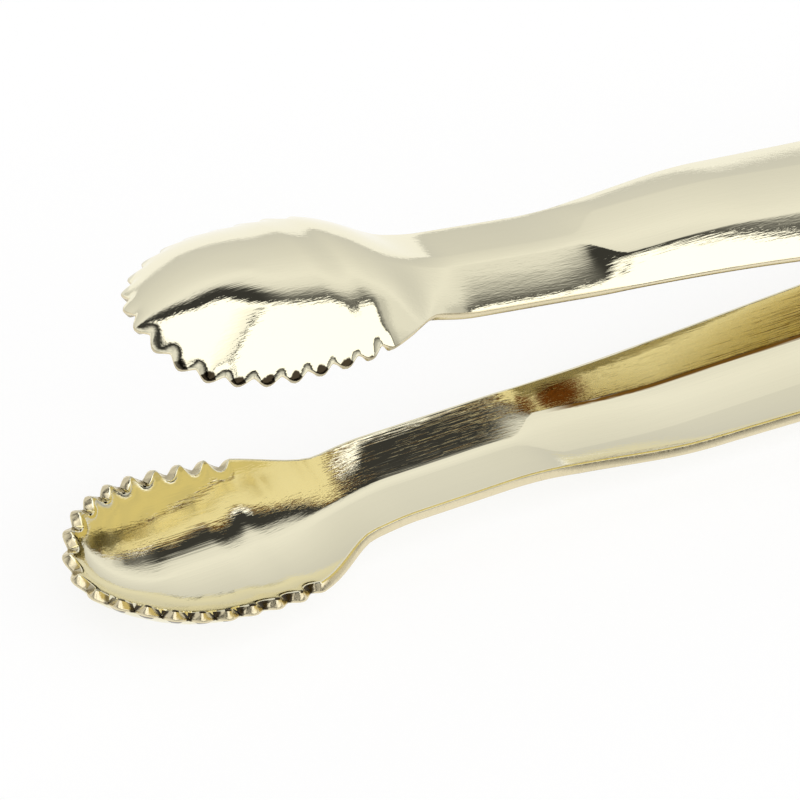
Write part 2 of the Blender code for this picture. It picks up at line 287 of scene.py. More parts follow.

# Painted shade: dark reflections painted into the colour of the cut edges, and of the scallops' crests
# within reach of the rim (the lip). It is strongest on the side of the arms that lies beyond NEAR_Y, and
# the other side has a share of it.
PAINTED_SHADE = (0.045, 0.034, 0.02)
NEAR_Y = -0.6 * BOWL_HALF_WIDTH
EDGE_RAGGED = 0.9
EDGE_SPAN = (0.1, 0.6)
EDGE_FAR_SHARE = 0.3
UPPER_EDGE_AMOUNT = 0.35
LIP_REACH = 1.15 * MM
LIP_START = (0.2 * MM, 1.2 * MM)
LIP_END = (9.0 * MM, 18.0 * MM)
LIP_RAGGED = 0.5
LIP_SPAN = (0.3, 0.42)
LIP_FAR_SHARE = 0.2

# Brown spot on the upper arm's hollow, round a place in the world
BROWN_SPOT = (0.17, 0.055, 0.008)
BROWN_SPOT_X = -63.5 * MM
BROWN_SPOT_Y = 2.9 * MM
BROWN_SPOT_SCALE = (1 / (2.4 * MM), 1 / (2.0 * MM), 0.0)
BROWN_SPOT_RAGGED = 0.7
BROWN_SPOT_SPAN = (0.65, 1.05)

# Painted shade: a brown line along the far crease of the lower arm's hollow, placed in the world
CREASE_SHADE = (0.17, 0.075, 0.008)
CREASE_SHADE_Y = 1.96 * MM
CREASE_SHADE_X = (-80.0 * MM, -20.0 * MM)
CREASE_SHADE_FADE = (3.0 * MM, 12.0 * MM)
CREASE_SHADE_WIDTH = (0.08 * MM, 0.24 * MM)


def ease(x, start, end):
    """Smooth step from 0 at start to 1 at end."""
    share = min(max((x - start) / (end - start), 0.0), 1.0)
    return share * share * (3.0 - 2.0 * share)


def mix(first, second, share):
    return first + (second - first) * share


def half_width(x, ear_half_width):
    if x < BOWL_LENGTH:
        share = max(x - BOWL_NOSE, 0.0) / (BOWL_LENGTH - BOWL_NOSE)
        return mix(BOWL_HALF_WIDTH, NECK_HALF_WIDTH, ease(share**SHOULDER_FULLNESS, 0.0, 1.0))
    width = NECK_HALF_WIDTH + HANDLE_STEP_WIDTH * ease(x, NECK_END, STEP_END)
    width += HANDLE_TAPER_WIDTH * ease(x, HANDLE_TAPER_START, HANDLE_TAPER_END)
    return mix(width, ear_half_width, ease(x, HANDLE_END, EAR_START))


def back_height(x):
    back = mix(BOWL_BACK_Z, SHOULDER_BACK_Z, ease(x, SHOULDER_START, SHOULDER_END))
    back = mix(back, NECK_RIM_Z - NECK_DEPTH, ease(x, WEB_START, WEB_END))
    back = mix(back, HANDLE_RIM_Z - HANDLE_DEPTH, ease(x, NECK_END, STEP_END))
    return mix(back, SHEET / 2, ease(x, DESCENT_START, EAR_START))


def heel_height():
    """Height of the heel's corner over the pivot, which stops the opening on the other arm's floor."""
    floor_drop = PIVOT_Z - SHEET - CLEARANCE
    return (floor_drop - EAR_RADIUS * math.sin(UPPER_TILT)) / math.cos(UPPER_TILT)


def flank_top(x):
    """Edge height from handle to ear: a tangent to the ear's round, the round itself, then the heel."""
    reach = PIVOT_X - FLANK_START
    rise = PIVOT_Z - HANDLE_RIM_Z
    slope = math.atan2(rise, reach) + math.asin(EAR_RADIUS / math.hypot(rise, reach))
    touch = PIVOT_X - EAR_RADIUS * math.sin(slope)
    if x < touch:
        return HANDLE_RIM_Z + (x - FLANK_START) * math.tan(slope)
    if x < PIVOT_X:
        return PIVOT_Z + math.sqrt(EAR_RADIUS**2 - (x - PIVOT_X) ** 2)
    return mix(EAR_TOP, PIVOT_Z + heel_height(), (x - PIVOT_X) / EAR_RADIUS)


def rim_height(x):
    if x > FLANK_START:
        return flank_top(x)
    droop = NOSE_DROOP * (1 - min(x / NOSE_DROOP_LENGTH, 1.0)) ** 2
    bowl = BOWL_RIM_Z - BOWL_RIM_SLOPE * x - droop
    rim = mix(bowl, NECK_RIM_Z, ease(x, WEB_START, WEB_END))
    return mix(rim, HANDLE_RIM_Z, ease(x, STEP_START, STEP_END))


def stations(ear_half_width):
    """(x, y, run) of the rim points: evenly round the scallops, then along the arm to its heel."""
    turns = np.linspace(0.0, math.pi / 2, OUTLINE_POINTS)
    outline = [(BOWL_NOSE * (1 - math.cos(t)), BOWL_HALF_WIDTH * math.sin(t)) for t in turns]
    places = np.linspace(BOWL_NOSE, BOWL_LENGTH, OUTLINE_POINTS)[1:]
    outline = np.array(outline + [(x, half_width(x, ear_half_width)) for x in places])
    run = np.concatenate([[0.0], np.cumsum(np.hypot(*np.diff(outline, axis=0).T))])
    count = SCALLOPS_PER_SIDE * POINTS_PER_SCALLOP
    points = []
    for s in np.linspace(0.0, SCALLOPS_PER_SIDE * SCALLOP_PITCH, count + 1):
        points.append((np.interp(s, run, outline[:, 0]), np.interp(s, run, outline[:, 1]), s))
    start = points[-1][0]
    places = list(np.linspace(start, FLANK_START, round((FLANK_START - start) / STATION_STEP) + 1)[1:])
    turns = np.linspace(0.0, math.pi / 2, EAR_STEPS + 1)[1:]
    places += [FLANK_START + (PIVOT_X - FLANK_START) * math.sin(turn) for turn in turns]
    places += list(np.linspace(PIVOT_X, HEEL_X - EDGE_ROUND, HEEL_STEPS + 1)[1:])
    return points + [(x, half_width(x, ear_half_width), None) for x in places]


def gutter_parts(floor, reach):
    """Radii of the gutter's floor and wall, and the lengths of its floor, crease and wall."""
    floor_radius = floor / math.sin(FLOOR_LEAN)
    crease = CREASE_RADIUS * (math.sin(CREASE_LEAN) - math.sin(FLOOR_LEAN))
    wall_radius = (reach - floor - crease) / (math.sin(RIM_LEAN) - math.sin(CREASE_LEAN))
    lengths = (
        floor_radius * FLOOR_LEAN,
        CREASE_RADIUS * (CREASE_LEAN - FLOOR_LEAN),
        wall_radius * (RIM_LEAN - CREASE_LEAN),
    )
    return (floor_radius, CREASE_RADIUS, wall_radius), lengths


def gutter_shape(share, radii, lengths):
    """Place at a share of the gutter's length, as shares of its width and depth."""
    leans = (0.0, FLOOR_LEAN, CREASE_LEAN, RIM_LEAN)

    def place(length):
        out = up = 0.0
        for radius, part, first, second in zip(radii, lengths, leans, leans[1:]):
            end = mix(first, second, min(length / part, 1.0))
            out += radius * (math.sin(end) - math.sin(first))
            up += radius * (math.cos(first) - math.cos(end))
            length -= part
            if length <= 0.0:
                break
        return out, up

    whole = sum(lengths)
    width, depth = place(whole)
    out, up = place(share * whole)
    return Vector((out / width, up / depth))


def channel_parts(reach, depth):
    corner = min(EAR_CORNER, depth)
    return corner, (reach - corner, corner * math.pi / 2, depth - corner)


def channel_shape(share, reach, depth):
    """Place at a share of the length of a flat floor, quarter round and upright wall."""
    corner, (flat, bend, wall) = channel_parts(reach, depth)
    length = share * (flat + bend + wall)
    if length < flat:
        return Vector((length / reach, 0.0))
    if length < flat + bend:
        turn = (length - flat) / corner
        return Vector(((flat + corner * math.sin(turn)) / reach, corner * (1 - math.cos(turn)) / depth))
    return Vector((1.0, (corner + length - flat - bend) / depth))


def row_shares(gutter_lengths, channel_lengths, to_channel):
    """Shares of the rows: some on the floor, some in its crease or corner and the rest up the wall."""
    breaks = []
    for part in (1, 2):
        gutter = sum(gutter_lengths[:part]) / sum(gutter_lengths)
        channel = sum(channel_lengths[:part]) / sum(channel_lengths)
        breaks.append(mix(gutter, channel, to_channel))
    floor = np.linspace(0.0, breaks[0], FLOOR_ROWS + 1)
    crease = np.linspace(breaks[0], breaks[1], CREASE_ROWS + 1)[1:]
    wall = np.linspace(breaks[1], 1.0, WALL_ROWS + 1)[1:]
    return np.concatenate([floor, crease, wall])


def notch_share(run):
    """Share of a scallop's depth at a run along the rim, 0 on its crests."""
    return math.sin(math.pi * run / SCALLOP_PITCH) ** 2


def section(x, y, run, roll_start):
    """Points of the half section whose rim point is (x, y), from the middle line to the rim."""
    pole_x = max(x, BOWL_NOSE - POLE_SHARE * (BOWL_NOSE - x))
    pole = Vector((pole_x, 0.0, back_height(pole_x)))
    across = Vector((x - pole_x, y, 0.0))
    reach = across.length
    direction = across.normalized()
    depth = rim_height(x) - pole.z
    lean = 2 * math.atan2(depth, reach)
    arc_length = reach * lean / math.sin(lean)
    to_handle = ease(x, FLOOR_STEP_START, FLOOR_STEP_START + FLOOR_STEP_LENGTH)
    floor = mix(NECK_FLOOR, HANDLE_FLOOR, to_handle)
    radii, lengths = gutter_parts(floor, reach)
    to_gutter = ease(x, GUTTER_START, GUTTER_END)
    to_channel = ease(x, HANDLE_END, EAR_START)
    scallop = 0.0 if run is None else notch_share(run)
    points = []
    for share in row_shares(lengths, channel_parts(reach, depth)[1], to_channel):
        pull = max(0.0, 1 - arc_length * (1 - share) / SCALLOP_REACH) ** 2 * scallop
        pulled = share - SCALLOP_DEPTH * pull / arc_length
        turn = pulled * lean
        row = Vector((math.sin(turn) / math.sin(lean), (1 - math.cos(turn)) / (1 - math.cos(lean))))
        if to_gutter > 0.0:
            row = row.lerp(gutter_shape(share, radii, lengths), to_gutter)
        if to_channel > 0.0:
            row = row.lerp(channel_shape(share, reach, depth), to_channel)
        place = pole + direction * (reach * row.x - math.sin(turn) * SCALLOP_PRESS * pull)
        place.z += depth * row.y + math.cos(turn) * SCALLOP_PRESS * pull
        last = max(0.0, 1 - arc_length * (1 - share) / RIM_ROLL_WIDTH)
        place.z += RIM_ROLL * last**2 * ease(x, roll_start, roll_start + ROLL_EASE) * (1 - to_channel)
        points.append(place)
    return points


def sheet_grid(ear_half_width, roll_start):
    """Mid surface of half an arm and its normals towards the other arm, by station and row."""
    points = np.array([section(*station, roll_start) for station in stations(ear_half_width)])
    before = points[1:2] * np.array([1.0, -1.0, 1.0])
    after = 2 * points[-1:] - points[-2:-1]
    along = np.concatenate([before, points, after])
    along = along[2:] - along[:-2]
    across = np.gradient(points, axis=1)
    normals = np.cross(along, across)
    middle = points[:, 0]
    slope = np.gradient(middle[:, 2]) / np.gradient(middle[:, 0])
    normals[:, 0] = np.stack([-slope, np.zeros_like(slope), np.ones_like(slope)], axis=1)
    normals[0, :, 1] = 0.0
    normals /= np.linalg.norm(normals, axis=2)[..., None]
    normals *= np.where(normals[..., 2:3] + TINY < 0.0, -1.0, 1.0)
    return points, normals


def sheet_rings(ear_half_width, roll_start):
    """Closed half sections of the sheet with rounded cut edges, from outer middle to inner middle."""
    points, normals = sheet_grid(ear_half_width, roll_start)
    tips = points[:, -1]
    outward = tips - points[:, -2]
    outward -= normals[:, -1] * np.sum(outward * normals[:, -1], axis=1)[:, None]
    outward /= np.linalg.norm(outward, axis=1)[:, None]
    turns = [math.pi / 2 * k / ROUND_STEPS for k in range(ROUND_STEPS + 1)]

    def ring(k, forward, half):
        shift = np.array([forward, 0.0, 0.0])
        outer = list(points[k, :-1] - normals[k, :-1] * half + shift)
        inner = list(points[k, :-1] + normals[k, :-1] * half + shift)
        edge = []
        for turn in turns:
            rise = half - EDGE_ROUND * (1 - math.cos(turn))
            edge.append((EDGE_ROUND * (math.sin(turn) - 1), rise))
        near = [tips[k] + outward[k] * out - normals[k, -1] * rise + shift for out, rise in edge]
        far = [tips[k] + outward[k] * out + normals[k, -1] * rise + shift for out, rise in edge]
        return outer + near + far[::-1] + inner[::-1]

    rings = [ring(k, 0.0, SHEET / 2) for k in range(len(points))]
    for turn in turns[1:]:
        half = SHEET / 2 - EDGE_ROUND * (1 - math.cos(turn))
        rings.append(ring(-1, EDGE_ROUND * math.sin(turn), half))
    runs = [station[2] for station in stations(ear_half_width)]
    notches = [0.0 if run is None else 2 * notch_share(run) - 1 for run in runs]
    notches += [0.0] * (len(rings) - len(notches))
    steps = np.linalg.norm(np.diff(points, axis=1), axis=2)
    lengths = np.cumsum(steps[:, ::-1], axis=1)[:, ::-1]
    ends = np.zeros((len(points), 2 * ROUND_STEPS + 2))
    from_rim = np.concatenate([lengths, ends, lengths[:, ::-1]], axis=1)
    from_rim = np.concatenate([from_rim, from_rim[-1:].repeat(len(rings) - len(from_rim), axis=0)])
    return rings, points.shape[1] - 1, notches, from_rim


def new_object(name, data):
    piece = bpy.data.objects.new(name, data)
    bpy.context.scene.collection.objects.link(piece)
    return piece


def finished_mesh(name, shape):
    """Mesh of a bmesh, with its faces turned outwards and shaded smooth."""
    bmesh.ops.recalc_face_normals(shape, faces=shape.faces)
    for face in shape.faces:
        face.smooth = True
    mesh = bpy.data.meshes.new(name)
    shape.to_mesh(mesh)
    shape.free()
    return mesh


def arm_mesh(name, ear_half_width, matrix, roll_start):
    """Sheet arm as a closed mesh in the world frame.

    Its attribute notch goes from -1 on the scallops' crests to 1 in their notches, and lip from 0 to 1
    on the crests, close to the rim.
    """
    rings, rows, notches, from_rim = sheet_rings(ear_half_width, roll_start)
    shell = bmesh.new()
    notch = shell.verts.layers.float.new("notch")
    lip = shell.verts.layers.float.new("lip")
    sides = []
    for side in (1.0, -1.0):
        grid = []
        for k, ring in enumerate(rings):
            line = []
            for m, point in enumerate(ring):
                on_middle = k == 0 or m in (0, len(ring) - 1)
                if side < 0.0 and on_middle:
                    line.append(sides[0][k][m])
                    continue
                place = Vector((point[0], 0.0 if on_middle else side * point[1], point[2]))
                vertex = shell.verts.new(matrix @ place)
                vertex[notch] = notches[k]
                at_lip = max(0.0, 1 - from_rim[k][m] / LIP_REACH)
                at_lip *= ease(point[0], *LIP_START) * (1 - ease(point[0], *LIP_END))
                vertex[lip] = max(0.0, -notches[k]) * at_lip
                line.append(vertex)
            grid.append(line)
        sides.append(grid)
    kinds = [OUTSIDE] * rows + [CUT_EDGE] * (ROUND_STEPS + 1) + [INNER_CORNER] * ROUND_STEPS
    kinds += [INNER_CORNER] * CORNER_ROWS + [INSIDE] * (rows - CORNER_ROWS)
    for side, grid in zip((1, -1), sides):
        for near, far in zip(grid, grid[1:]):
            for m in range(len(near) - 1):
                corners = (near[m], near[m + 1], far[m + 1], far[m])[::side]
                face = shell.faces.new(corners)
                face.material_index = kinds[m]
        last = grid[-1]
        for m in range(rows + ROUND_STEPS):
            corners = (last[m], last[m + 1], last[-2 - m], last[-1 - m])[::side]
            face = shell.faces.new(corners)
            face.material_index = CUT_EDGE
    return finished_mesh(name, shell)


def lathe(name, profile):
    """Mesh turned about the pivot's axis from (radius, y) pairs that start and end on the axis."""
    turned = bmesh.new()
    rings = []
    for radius, y in profile:
        if radius == 0.0:
            rings.append([turned.verts.new(PIVOT + Vector((0.0, y, 0.0)))])
            continue
        ring = []
        for k in range(RIVET_SEGMENTS):
            angle = 2 * math.pi * k / RIVET_SEGMENTS
            spoke = Vector((radius * math.cos(angle), y, radius * math.sin(angle)))
            ring.append(turned.verts.new(PIVOT + spoke))
        rings.append(ring)
    for first, second in zip(rings, rings[1:]):
        for k in range(RIVET_SEGMENTS):
            m = (k + 1) % RIVET_SEGMENTS
            around = ((first, k), (first, m), (second, m), (second, k))
            corners = [ring[n % len(ring)] for ring, n in around]
            turned.faces.new(list(dict.fromkeys(corners)))
    return finished_mesh(name, turned)


def bore(arm):
    """Cut the rivet's bore through both ears and keep its edges crisp."""
    radius = RIVET_RADIUS + CLEARANCE
    profile = [(0.0, -BORE_REACH), (radius, -BORE_REACH), (radius, BORE_REACH), (0.0, BORE_REACH)]
    cutter = new_object("bore_cutter", lathe("bore_cutter", profile))
    cut = arm.modifiers.new("bore", "BOOLEAN")
    cut.operation = "DIFFERENCE"
    cut.solver = "EXACT"
    cut.object = cutter
    graph = bpy.context.evaluated_depsgraph_get()
    arm.data = bpy.data.meshes.new_from_object(arm.evaluated_get(graph))
    arm.modifiers.clear()
    bpy.data.objects.remove(cutter, do_unlink=True)
    arm.data.set_sharp_from_angle(angle=SHARP_ANGLE)


def make_arm(name, ear_half_width, matrix, roll_start, body, node, materials):
    """Bored arm that rides on its body in place of the node, with one material for each slot."""
    arm = new_object(name, arm_mesh(name, ear_half_width, matrix, roll_start))
    for material in materials:
        arm.data.materials.append(material)
    bore(arm)
    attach(arm, body)
    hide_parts(node)


def make_rivet(material):
    """Shank with two domed heads whose rims are rounded."""
    seat = EAR_HALF_WIDTH + SHEET / 2 + CLEARANCE
    half = []
    for k in range(RIVET_DOME_STEPS + 1):
        turn = math.pi / 2 * k / RIVET_DOME_STEPS
        rise = (RIVET_HEAD_HEIGHT - RIVET_EDGE) * math.cos(turn) ** RIVET_DOME_POWER
        half.append((RIVET_HEAD_RADIUS * math.sin(turn), seat + RIVET_EDGE + rise))
    half.append((RIVET_HEAD_RADIUS, seat + RIVET_EDGE / 2))
    half.append((RIVET_HEAD_RADIUS - RIVET_EDGE / 3, seat))
    half.append((RIVET_RADIUS, seat))
    profile = half + [(radius, -y) for radius, y in reversed(half)]
    rivet = new_object("rivet", lathe("rivet", profile))
    rivet.data.set_sharp_from_angle(angle=SHARP_ANGLE)
    rivet.data.materials.append(material)
    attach(rivet, "lower")
    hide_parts("pivot_rivet")


def spring_route():
    """Centre line of the spring about the pivot: lower leg, coil from its bottom, upper leg."""
    coil_radius = RIVET_RADIUS + CLEARANCE + WIRE_RADIUS
    floor_drop = PIVOT_Z - SHEET - CLEARANCE - WIRE_RADIUS
    foot = Vector((-LEG_REACH, 0.0, -floor_drop))
    touch_angle = math.atan2(foot.z, foot.x) + math.acos(coil_radius / foot.length)
    touch = Vector((math.cos(touch_angle), 0.0, math.sin(touch_angle))) * coil_radius
    last_angle = 2 * (math.pi - HALF_OPENING) - touch_angle
    while last_angle < touch_angle:
        last_angle += 2 * math.pi
    sweep = last_angle - touch_angle + 2 * math.pi * math.floor(COIL_TURNS)
    length = COIL_PITCH * sweep / (2 * math.pi)
    count = round(COIL_POINTS * sweep / (2 * math.pi))
    coil = []
    for k in range(count + 1):
        angle = touch_angle + sweep * k / count
        across = length * (k / count - 0.5)
        coil.append(Vector((coil_radius * math.cos(angle), across, coil_radius * math.sin(angle))))
    lower_leg = []
    for k in range(LEG_POINTS + 1):
        share = LEG_END_SHARE * k / LEG_POINTS
        x, z = mix(foot.x, touch.x, share), mix(foot.z, touch.z, share)
        lower_leg.append(Vector((x, -length / 2, z)))
    tilt = Matrix.Rotation(UPPER_TILT, 3, "Y")
    upper_leg = []
    for point in reversed(lower_leg):
        flipped = tilt @ Vector((point.x, 0.0, -point.z))
        upper_leg.append(Vector((flipped.x, length / 2, flipped.z)))
    return lower_leg + coil + upper_leg


def make_spring(material):
    curve = bpy.data.curves.new("spring_wire", "CURVE")
    curve.dimensions = "3D"
    curve.bevel_depth = WIRE_RADIUS
    curve.bevel_resolution = WIRE_RESOLUTION
    curve.use_fill_caps = True
    route = spring_route()
    wire = curve.splines.new("POLY")
    wire.points.add(len(route) - 1)
    for spot, place in zip(wire.points, route):
        spot.co = (*(PIVOT + place), 1.0)
    wire.use_smooth = True
    drawn = new_object("spring_curve", curve)
    bpy.context.view_layer.update()
    swept = drawn.evaluated_get(bpy.context.evaluated_depsgraph_get())
    spring = new_object("spring_wire", bpy.data.meshes.new_from_object(swept))
    bpy.data.objects.remove(drawn)
    bpy.data.curves.remove(curve)
    spring.data.materials.clear()
    spring.data.materials.append(material)
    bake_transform(spring)
    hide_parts("torsion_spring")


class Nodes:
    """Shorthand for building a node tree."""

    def __init__(self, tree):
        self.tree = tree

    def add(self, kind, settings=None, **inputs):
        node = self.tree.nodes.new(kind)
        for name, value in (settings or {}).items():
            setattr(node, name, value)
        for name, value in inputs.items():
            self.feed(node.inputs[name.replace("_", " ")], value)
        return node

    def feed(self, socket, value):
        if isinstance(value, bpy.types.NodeSocket):
            self.tree.links.new(value, socket)
        else:
            socket.default_value = value

    def math(self, operation, *values):
        node = self.tree.nodes.new("ShaderNodeMath")
        node.operation = operation
        for socket, value in zip(node.inputs, values):
            self.feed(socket, value)
        return node.outputs[0]

    def rest(self, value):
        """What a value leaves of 1."""
        return self.math("SUBTRACT", 1.0, value)

    def product(self, first, *others):
        for other in others:
            first = self.math("MULTIPLY", first, other)
        return first

    def remap(self, value, low, high, out_low=0.0, out_high=1.0, smooth=False):
        node = self.tree.nodes.new("ShaderNodeMapRange")
        if smooth:
            node.interpolation_type = "SMOOTHSTEP"
        for socket, number in zip(node.inputs, (value, low, high, out_low, out_high)):
            self.feed(socket, number)
        return node.outputs[0]

    def step(self, value, low, high):
        """Smooth step from 0 at low to 1 at high."""
        return self.remap(value, low, high, smooth=True)

    def fall(self, value, low, high):
        """Smooth step from 1 at low to 0 at high."""
        return self.rest(self.step(value, low, high))

    def blend(self, share, first, second):
        node = self.add("ShaderNodeMix", {"data_type": "FLOAT"})
        for name, value in (("Factor", share), ("A", first), ("B", second)):
            self.feed(node.inputs[name], value)
        return node.outputs["Result"]

    def tone(self, share, first, second):
        """Colour between two, each of them a tuple of three numbers or a socket."""
        node = self.add("ShaderNodeMix", {"data_type": "RGBA"}, Factor=share)
        for name, color in (("A", first), ("B", second)):
            self.feed(node.inputs[name], (*color, 1.0) if isinstance(color, tuple) else color)
        return node.outputs["Result"]

    def noise(self, vector, scale, detail, roughness=0.5):
        inputs = {"Vector": vector, "Scale": scale, "Detail": detail, "Roughness": roughness}
        return self.add("ShaderNodeTexNoise", **inputs).outputs["Fac"]

    def ragged(self, value, noise, amount):
        """A value made uneven by a noise that swings about one half."""
        return self.math("MULTIPLY_ADD", self.math("SUBTRACT", noise, 0.5), amount, value)

    def stretch(self, vector, scale, tilt=0.0):
        node = self.add("ShaderNodeMapping", Vector=vector, Rotation=(0.0, tilt, 0.0), Scale=scale)
        return node.outputs[0]

    def parts(self, vector):
        return self.add("ShaderNodeSeparateXYZ", Vector=vector).outputs

    def place(self):
        """Place on the piece. Every piece sits at the origin, so at rest it is the world's."""
        return self.add("ShaderNodeTexCoord").outputs["Object"]

    def attribute(self, name):
        return self.add("ShaderNodeAttribute", {"attribute_name": name}).outputs["Fac"]

    def relief(self, height, distance, under=None):
        """Normal bent by a height, and first by the relief under it."""
        node = self.add("ShaderNodeBump", Height=height, Strength=1.0, Distance=distance)
        if under is not None:
            self.feed(node.inputs["Normal"], under)
        return node.outputs[0]

    def show(self, share, first, second):
        """Put a mix of two shaders on the surface, in place of the Principled one."""
        mixed = self.add("ShaderNodeMixShader", Fac=share)
        self.feed(mixed.inputs[1], first.outputs[0])
        self.feed(mixed.inputs[2], second.outputs[0])
        self.tree.nodes.remove(self.tree.nodes["Principled BSDF"])
        self.feed(self.tree.nodes["Material Output"].inputs["Surface"], mixed.outputs[0])


def new_material(name):
    material = bpy.data.materials.new(name)
    material.use_nodes = True
    return material, Nodes(material.node_tree)


def metal(name, tones, clouds=CLOUDS, span=CLOUD_SPAN):
    """Metal that drifts between two tones, and its node helper, shader and place."""
    material, nodes = new_material(name)
    shader = nodes.tree.nodes["Principled BSDF"]
    place = nodes.place()
    share = nodes.remap(nodes.noise(place, *clouds), *span)
    nodes.feed(shader.inputs["Base Color"], nodes.tone(share, *tones))
    shader.inputs["Metallic"].default_value = 1.0
    return material, nodes, shader, place


def drawn_lines(nodes, place, tilt):
    """Fine lines along an arm with this tilt."""
    return nodes.noise(nodes.stretch(place, LINES_STRETCH, tilt), *LINES)


def darken(nodes, shader, cover, color):
    """Cover part of the metal with a dark film."""
    bare = shader.inputs["Base Color"].links[0].from_socket
    nodes.feed(shader.inputs["Base Color"], nodes.tone(cover, bare, color))


def line_finish(nodes, shader, lines, roughness, height, bands=None):
    """Roughness and relief that follow the lines of a surface, with broad bands over them."""
    nodes.feed(shader.inputs["Roughness"], nodes.remap(lines, *LINE_SPAN, *roughness))
    relief = nodes.relief(lines, height)
    if bands is not None:
        relief = nodes.relief(bands, height * BAND_HEIGHT_GAIN, relief)
    nodes.feed(shader.inputs["Normal"], relief)


def near_side(nodes, place, far_share):
    """1 on the arms' side beyond NEAR_Y, falling to a share of it at the middle line."""
    return nodes.remap(nodes.parts(place)["Y"], NEAR_Y, 0.0, 1.0, far_share)


def crease_shade_line(nodes, place, lines):
    """Share of the painted shade line along the far crease, uneven in width."""
    parts = nodes.parts(place)
    off = nodes.math("ABSOLUTE", nodes.math("SUBTRACT", parts["Y"], CREASE_SHADE_Y))
    cover = nodes.fall(nodes.ragged(off, lines, CREASE_SHADE_WIDTH[1]), *CREASE_SHADE_WIDTH)
    first, last = CREASE_SHADE_X
    start = nodes.step(parts["X"], first, first + CREASE_SHADE_FADE[0])
    end = nodes.fall(parts["X"], last - CREASE_SHADE_FADE[1], last)
    return nodes.product(cover, nodes.product(start, end))


def gold_plate(name, tilt, roughness, line_height, creased=False):
    """Mirror-polished plating with fine lines along the arm, broad soft bands and painted shade at the
    lip.
    """
    material, nodes, shader, place = metal(name, PALE_GOLD)
    lines = drawn_lines(nodes, place, tilt)
    lip = nodes.attribute("lip")
    cover = nodes.step(nodes.ragged(lip, nodes.noise(place, *LIP_SHADE_NOISE), LIP_RAGGED), *LIP_SPAN)
    cover = nodes.product(cover, nodes.math("GREATER_THAN", lip, 0.0))
    # Painted shade on the scallops' crests at the lip, strongest on the near side
    darken(nodes, shader, nodes.product(cover, near_side(nodes, place, LIP_FAR_SHARE)), PAINTED_SHADE)
    if creased:
        # Painted shade along the far crease of the lower arm's hollow
        darken(nodes, shader, crease_shade_line(nodes, place, lines), CREASE_SHADE)
    bands = nodes.noise(nodes.stretch(place, BANDS_STRETCH, tilt), *BANDS)
    line_finish(nodes, shader, lines, roughness, line_height, bands)
    return material


def satin_gold(name, tones):
    """Satin finish of the upper arm's hollow, drawn along the arm, with the brown spot."""
    material, nodes, shader, place = metal(name, tones)
    lines = drawn_lines(nodes, place, UPPER_TILT)
    from_spot = nodes.add("ShaderNodeVectorMath", {"operation": "SUBTRACT"})
    nodes.feed(from_spot.inputs[0], place)
    nodes.feed(from_spot.inputs[1], (BROWN_SPOT_X, BROWN_SPOT_Y, 0.0))
    spread = nodes.add("ShaderNodeVectorMath", {"operation": "LENGTH"})
    nodes.feed(spread.inputs[0], nodes.stretch(from_spot.outputs[0], BROWN_SPOT_SCALE))
    off = nodes.ragged(spread.outputs["Value"], lines, BROWN_SPOT_RAGGED)
    darken(nodes, shader, nodes.fall(off, *BROWN_SPOT_SPAN), BROWN_SPOT)
    line_finish(nodes, shader, lines, SATIN_ROUGHNESS, SATIN_LINE_HEIGHT)
    return material


def cut_edge(name, sign, amount):
    """Plated shear edge: a little rougher, grained across the sheet, with painted shade.

    The painted shade sits in the scallops' notches where sign is 1, and on their crests where it is -1.
    """
    material, nodes, shader, place = metal(name, EDGE_GOLD)
    grain = nodes.noise(nodes.stretch(place, GRAIN_STRETCH), *GRAIN)
    notch = nodes.product(nodes.attribute("notch"), sign)
    cover = nodes.step(nodes.ragged(notch, grain, EDGE_RAGGED), *EDGE_SPAN)
    near = nodes.product(near_side(nodes, place, EDGE_FAR_SHARE), amount)
    # Painted shade on the cut edge, in notches or on crests, strongest on the near side
    darken(nodes, shader, nodes.product(cover, near), PAINTED_SHADE)
    line_finish(nodes, shader, grain, EDGE_ROUGHNESS, GRAIN_HEIGHT)
    return material


def spring_steel(name):
    """Drawn wire: grey steel with fine die lines and a darker film here and there."""
    material, nodes, shader, place = metal(name, STEEL, FILM, FILM_SPAN)
    lines = nodes.noise(nodes.stretch(place, DIE_LINES_STRETCH), *DIE_LINES)
    line_finish(nodes, shader, lines, STEEL_ROUGHNESS, DIE_LINE_HEIGHT)
    return material


def tent_level(nodes, angle):
    ramp = nodes.add("ShaderNodeValToRGB", Fac=nodes.remap(angle, -TENT_RANGE, TENT_RANGE))
    stops = ramp.color_ramp.elements
    while len(stops) < len(TENT_LEVELS):
        stops.new(0.5)
    for stop, (place, level) in zip(stops, TENT_LEVELS):
        stop.position = (place + TENT_RANGE) / (2 * TENT_RANGE)
        stop.color = (level, level, level, 1.0)
    return ramp.outputs["Color"]


def past_box_top(nodes, x, angle, rise):
    """Degrees above the box's upper edge."""
    top = nodes.math("MULTIPLY_ADD", nodes.step(x, *BOX_DIP_X), -BOX_DIP, BOX_TOP)
    top = nodes.math("MULTIPLY_ADD", rise, BOX_RISE, top)
    beyond = nodes.math("MAXIMUM", nodes.math("SUBTRACT", BOX_SLOPE_X, x), 0.0)
    top = nodes.math("MULTIPLY_ADD", beyond, BOX_SLOPE, top)
    return nodes.math("SUBTRACT", angle, top)


def past_box_start(nodes, x, angle):
    """Distance along x from the box's left border."""
    below = nodes.math("MAXIMUM", nodes.math("SUBTRACT", BOX_SLANT_TOP, angle), 0.0)
    return nodes.math("SUBTRACT", x, nodes.math("MULTIPLY_ADD", below, BOX_SLANT, BOX_START))


